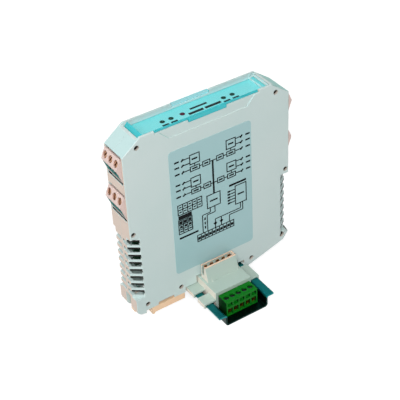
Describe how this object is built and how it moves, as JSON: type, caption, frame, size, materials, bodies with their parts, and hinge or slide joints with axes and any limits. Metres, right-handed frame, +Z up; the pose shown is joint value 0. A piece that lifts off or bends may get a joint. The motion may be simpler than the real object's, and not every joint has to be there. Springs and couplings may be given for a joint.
{
  "type": "signal isolator",
  "caption": "Slim rail-mounted signal isolator with pluggable terminals, clear front cover and rail latch, beside a bus connector and supply plug on a short rail.",
  "frame": {"origin": "On the underside of the rail, below the middle of the module.", "axes": "X runs across the rail along the module's length with the input terminals at -X, Y runs along the rail with the supply connector at -Y, Z points up to the front."},
  "size_m": [0.1046, 0.0552, 0.1145],
  "materials": {
    "housing_plastic": "fine matt moulded, light grey",
    "connector_plastic": "satin moulded, near white",
    "plug_plastic": "satin moulded, warm light grey",
    "header_plastic": "satin moulded, grey",
    "latch_plastic": "satin moulded, peach",
    "supply_green": "semi-gloss moulded, green",
    "clear_cover": "clear, turquoise tint",
    "front_strip": "printed film, turquoise",
    "label_film": "printed film, pale blue",
    "green_lamp": "clear tinted, unlit",
    "red_lamp": "clear tinted, unlit",
    "board_laminate": "solder mask, green",
    "ferrite": "matt dark grey",
    "white_plastic": "matt moulded, white",
    "capacitor_sleeve": "shrink sleeve, dark blue",
    "chip_plastic": "matt moulded, black",
    "tinned_pin": "tin plated",
    "contact_brass": "bright",
    "clamp_steel": "zinc plated, blue passivated",
    "screw_brass": "dull plated",
    "screw_steel": "zinc plated",
    "rail_steel": "passivated, dark blue-green"
  },
  "bodies": {
    "module_on_rail": {"rail_section": "rail_steel", "housing_near_shell": "housing_plastic", "housing_far_shell": "housing_plastic", "side_label": "label_film", "front_label": "front_strip", "status_lamps": "green_lamp", "power_lamp": "red_lamp", "circuit_board": "board_laminate", "signal_transformers": "ferrite", "power_transformer": "ferrite", "optocouplers": "white_plastic", "filter_capacitors": "capacitor_sleeve", "amplifier_chips": "chip_plastic", "input_header_upper": "header_plastic", "input_header_lower": "header_plastic", "output_header_upper": "header_plastic", "output_header_lower": "header_plastic", "header_pins": "tinned_pin", "module_bus_pins": "contact_brass", "module_bus_connector": "connector_plastic", "module_bus_contacts": "contact_brass", "supply_bus_connector": "connector_plastic", "supply_bus_contacts": "contact_brass"},
    "cover": {"front_cover": "clear_cover"},
    "latch": {"rail_latch": "latch_plastic"},
    "input_upper": {"input_plug_upper": "plug_plastic", "input_screws_upper": "screw_brass", "input_clamps_upper": "clamp_steel"},
    "input_lower": {"input_plug_lower": "plug_plastic", "input_screws_lower": "screw_brass", "input_clamps_lower": "clamp_steel"},
    "output_upper": {"output_plug_upper": "plug_plastic", "output_screws_upper": "screw_brass", "output_clamps_upper": "clamp_steel"},
    "output_lower": {"output_plug_lower": "plug_plastic", "output_screws_lower": "screw_brass", "output_clamps_lower": "clamp_steel"},
    "supply": {"supply_plug": "supply_green", "supply_screws": "screw_steel", "supply_clamps": "contact_brass"}
  },
  "joints": [
    {"name": "front_cover_hinge", "type": "hinge", "parent": "module_on_rail", "child": "cover", "pos_m": [0.0374, 0, 0.1131], "axis": [0, 1, 0], "range_deg": [0, 100]},
    {"name": "rail_latch_slide", "type": "slide", "parent": "module_on_rail", "child": "latch", "axis": [-1, 0, 0], "range_m": [0, 0.0035], "stiffness_N_per_m": 2500},
    {"name": "input_upper_pull", "type": "slide", "parent": "module_on_rail", "child": "input_upper", "axis": [-1, 0, 0], "range_m": [0, 0.01]},
    {"name": "input_lower_pull", "type": "slide", "parent": "module_on_rail", "child": "input_lower", "axis": [-1, 0, 0], "range_m": [0, 0.01]},
    {"name": "output_upper_pull", "type": "slide", "parent": "module_on_rail", "child": "output_upper", "axis": [1, 0, 0], "range_m": [0, 0.01]},
    {"name": "output_lower_pull", "type": "slide", "parent": "module_on_rail", "child": "output_lower", "axis": [1, 0, 0], "range_m": [0, 0.01]},
    {"name": "supply_plug_pull", "type": "slide", "parent": "module_on_rail", "child": "supply", "axis": [0, -1, 0], "range_m": [0, 0.009]}
  ]
}
